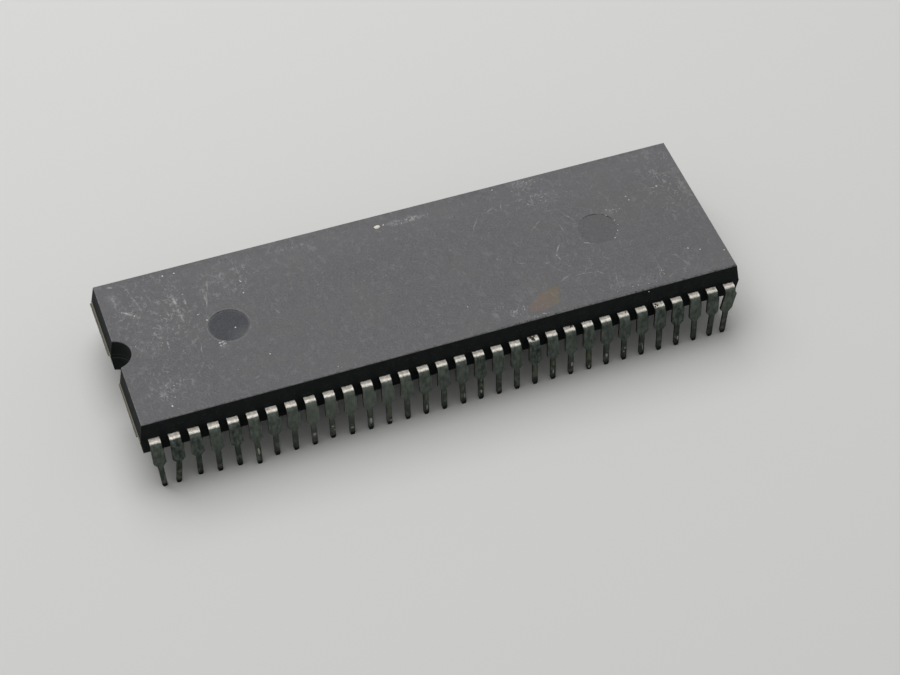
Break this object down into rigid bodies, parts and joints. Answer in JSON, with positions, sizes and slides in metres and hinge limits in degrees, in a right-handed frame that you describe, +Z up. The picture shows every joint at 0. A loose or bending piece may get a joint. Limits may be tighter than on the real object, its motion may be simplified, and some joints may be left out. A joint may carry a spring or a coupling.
{
  "type": "dip integrated circuit chip",
  "caption": "Flat dark moulded package with a row of bent leads down each long side, a half-round notch in one end and two round marks on top.",
  "frame": {"origin": "middle of the package in plan, on the surface that the lead tips stand on", "axes": "+Z up through the top face, +X along the body away from the notched end, +Y towards the rear row of leads"},
  "size_m": [0.0576, 0.0206, 0.0074],
  "materials": {
    "moulding": "moulded epoxy, matt top with fine scratches, near-black sides",
    "lead_frame": "dull tin-plated copper alloy, bright at the bends, flux stained at the pins",
    "adhesive": "silver-filled adhesive",
    "silicon": "polished silicon",
    "gold_wire": "bright gold wire"
  },
  "bodies": {
    "root": {"body": "moulding", "die_pad": "lead_frame", "die_attach": "adhesive", "die": "silicon", "leads_01_02": "lead_frame", "leads_03_04": "lead_frame", "leads_05_06": "lead_frame", "leads_07_08": "lead_frame", "leads_09_10": "lead_frame", "leads_11_12": "lead_frame", "leads_13_14": "lead_frame", "leads_15_16": "lead_frame", "leads_17_18": "lead_frame", "leads_19_20": "lead_frame", "leads_21_22": "lead_frame", "leads_23_24": "lead_frame", "leads_25_26": "lead_frame", "leads_27_28": "lead_frame", "leads_29_30": "lead_frame", "leads_31_32": "lead_frame", "leads_33_34": "lead_frame", "leads_35_36": "lead_frame", "leads_37_38": "lead_frame", "leads_39_40": "lead_frame", "leads_41_42": "lead_frame", "leads_43_44": "lead_frame", "leads_45_46": "lead_frame", "leads_47_48": "lead_frame", "leads_49_50": "lead_frame", "leads_51_52": "lead_frame", "leads_53_54": "lead_frame", "leads_55_56": "lead_frame", "leads_57_58": "lead_frame", "leads_59_60": "lead_frame", "leads_61_62": "lead_frame", "leads_63_64": "lead_frame", "bond_wires_01_04": "gold_wire", "bond_wires_05_08": "gold_wire", "bond_wires_09_12": "gold_wire", "bond_wires_13_16": "gold_wire", "bond_wires_17_20": "gold_wire", "bond_wires_21_24": "gold_wire", "bond_wires_25_28": "gold_wire", "bond_wires_29_32": "gold_wire", "bond_wires_33_36": "gold_wire", "bond_wires_37_40": "gold_wire", "bond_wires_41_44": "gold_wire", "bond_wires_45_48": "gold_wire", "bond_wires_49_52": "gold_wire", "bond_wires_53_56": "gold_wire", "bond_wires_57_60": "gold_wire", "bond_wires_61_64": "gold_wire"}
  },
  "joints": []
}
